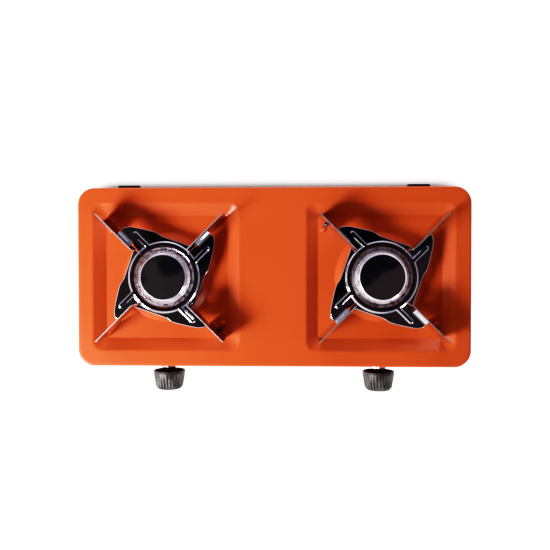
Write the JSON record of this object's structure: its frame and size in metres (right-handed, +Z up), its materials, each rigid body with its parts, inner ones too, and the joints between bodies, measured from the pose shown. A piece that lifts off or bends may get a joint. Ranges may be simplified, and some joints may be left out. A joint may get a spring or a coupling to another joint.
{
  "type": "camp stove",
  "caption": "Low orange camp stove with a gas burner in each square well, a pinwheel steel pan support over each, and fluted knobs along the front.",
  "frame": {"origin": "on the floor, under the middle of the object's box", "axes": "+X along the stove's length to the user's right, +Y to the back, +Z up; the knobs face -Y"},
  "size_m": [0.471, 0.2488, 0.095],
  "materials": {
    "orange_enamel": "satin powder coat",
    "polished_steel": "mirror-polished stainless pressing",
    "chrome_cap": "mirror polished",
    "zinc_steel": "zinc plated",
    "brass": "turned, lightly oxidised",
    "black_rubber": "matt",
    "knob_plastic": "moulded, slight sheen"
  },
  "bodies": {
    "stove_body": {"top_panel": "orange_enamel", "base_panel": "zinc_steel", "front_left_foot": "black_rubber", "front_left_foot_screw": "zinc_steel", "front_right_foot": "black_rubber", "front_right_foot_screw": "zinc_steel", "rear_left_foot": "black_rubber", "rear_left_foot_screw": "zinc_steel", "rear_right_foot": "black_rubber", "rear_right_foot_screw": "zinc_steel", "base_screw_1": "zinc_steel", "base_screw_2": "zinc_steel", "base_screw_3": "zinc_steel", "base_screw_4": "zinc_steel", "base_screw_5": "zinc_steel", "base_screw_6": "zinc_steel", "left_rear_pad": "black_rubber", "right_rear_pad": "black_rubber", "gas_rail": "zinc_steel", "left_rail_plug": "brass", "right_rail_plug": "brass", "supply_tee": "brass", "supply_pipe": "zinc_steel", "inlet_fitting": "brass", "inlet_nut": "zinc_steel", "left_burner_bowl": "zinc_steel", "left_port_ring": "polished_steel", "left_burner_cap": "chrome_cap", "left_venturi_tube": "zinc_steel", "left_gas_jet": "brass", "left_valve_body": "brass", "left_panel_nut": "zinc_steel", "left_saddle_clamp": "zinc_steel", "left_bowl_screw_outer": "zinc_steel", "left_bowl_screw_inner": "zinc_steel", "right_burner_bowl": "zinc_steel", "right_port_ring": "polished_steel", "right_burner_cap": "chrome_cap", "right_venturi_tube": "zinc_steel", "right_gas_jet": "brass", "right_valve_body": "brass", "right_panel_nut": "zinc_steel", "right_saddle_clamp": "zinc_steel", "right_bowl_screw_outer": "zinc_steel", "right_bowl_screw_inner": "zinc_steel"},
    "left_control": {"left_knob": "knob_plastic", "left_valve_spindle": "brass"},
    "left_support": {"left_pan_support": "polished_steel"},
    "right_control": {"right_knob": "knob_plastic", "right_valve_spindle": "brass"},
    "right_support": {"right_pan_support": "polished_steel"}
  },
  "joints": [
    {"name": "left_knob_turn", "type": "hinge", "parent": "stove_body", "child": "left_control", "pos_m": [-0.1284, -0.10095, 0.037], "axis": [0, -1, 0], "range_deg": [0, 210]},
    {"name": "right_knob_turn", "type": "hinge", "parent": "stove_body", "child": "right_control", "pos_m": [0.1284, -0.10095, 0.037], "axis": [0, -1, 0], "range_deg": [0, 210]},
    {"name": "left_support_lift", "type": "slide", "parent": "stove_body", "child": "left_support", "axis": [0, 0, 1], "range_m": [0, 0.06]},
    {"name": "right_support_lift", "type": "slide", "parent": "stove_body", "child": "right_support", "axis": [0, 0, 1], "range_m": [0, 0.06]}
  ]
}
